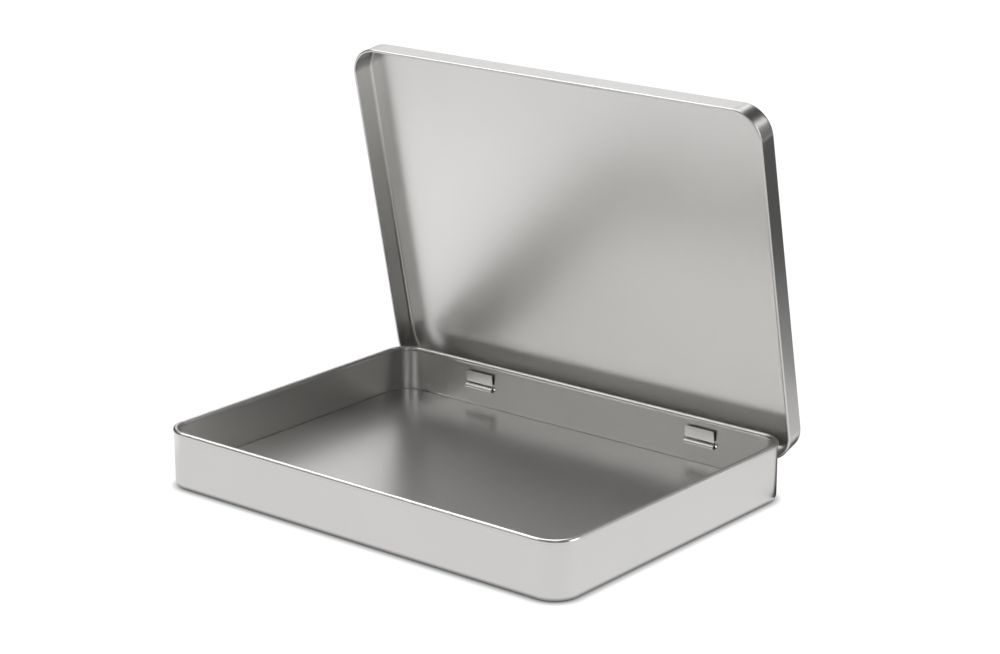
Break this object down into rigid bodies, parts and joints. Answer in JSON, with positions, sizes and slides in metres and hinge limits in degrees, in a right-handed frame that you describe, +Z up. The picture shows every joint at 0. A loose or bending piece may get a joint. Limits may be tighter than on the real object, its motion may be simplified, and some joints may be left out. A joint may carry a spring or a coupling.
{
  "type": "hinged tin box",
  "caption": "Shallow rectangular bare-metal tin with rounded corners, a rolled rim and a shallow hinged lid standing open.",
  "frame": {"origin": "under the middle of the box with its lid open, on the plane of the tray's flat foot", "axes": "+X along the box's length, +Y towards the hinge side, +Z up; the lid stands open at rest"},
  "size_m": [0.1924, 0.1474, 0.1526],
  "materials": {
    "tray": "satin tinplate",
    "lid": "satin tinplate"
  },
  "bodies": {
    "base": {"tray": "tray"},
    "cover": {"lid": "lid"}
  },
  "joints": [
    {"name": "lid_hinge", "type": "hinge", "parent": "base", "child": "cover", "pos_m": [0, 0.06452, 0.0142], "axis": [-1, 0, 0], "range_deg": [-78.2, 2.5]}
  ]
}
